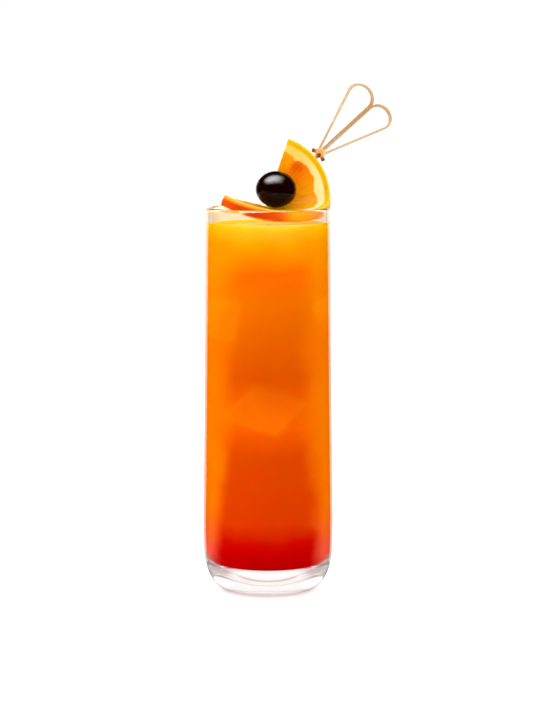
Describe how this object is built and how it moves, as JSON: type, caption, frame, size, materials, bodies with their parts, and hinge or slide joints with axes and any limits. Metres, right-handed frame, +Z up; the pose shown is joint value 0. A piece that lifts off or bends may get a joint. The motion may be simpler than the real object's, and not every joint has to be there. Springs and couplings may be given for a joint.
{
  "type": "tequila sunrise",
  "caption": "Orange cocktail that deepens to red at the bottom, in a tall clear glass, garnished with a folded orange slice and a dark cherry on a knotted heart pick.",
  "frame": {"origin": "middle of the glass's flat base, on the surface it stands on", "axes": "+Z up along the glass's axis; the front of the drink faces -Y and the heart of the pick leans towards +X and +Y"},
  "size_m": [0.0898, 0.0763, 0.2372],
  "materials": {
    "glass": "clear and polished",
    "grenadine": "clear red syrup",
    "juice": "cloudy orange drink",
    "orange_slice": "juicy orange pulp in pale pith and yellow-orange peel",
    "cherry": "very dark, syrupy and shiny",
    "bamboo": "pale split bamboo"
  },
  "bodies": {
    "root": {"glass": "glass", "grenadine": "grenadine", "juice": "juice", "orange_slice": "orange_slice", "cherry": "cherry", "pick": "bamboo", "pick_knot": "bamboo"}
  },
  "joints": []
}
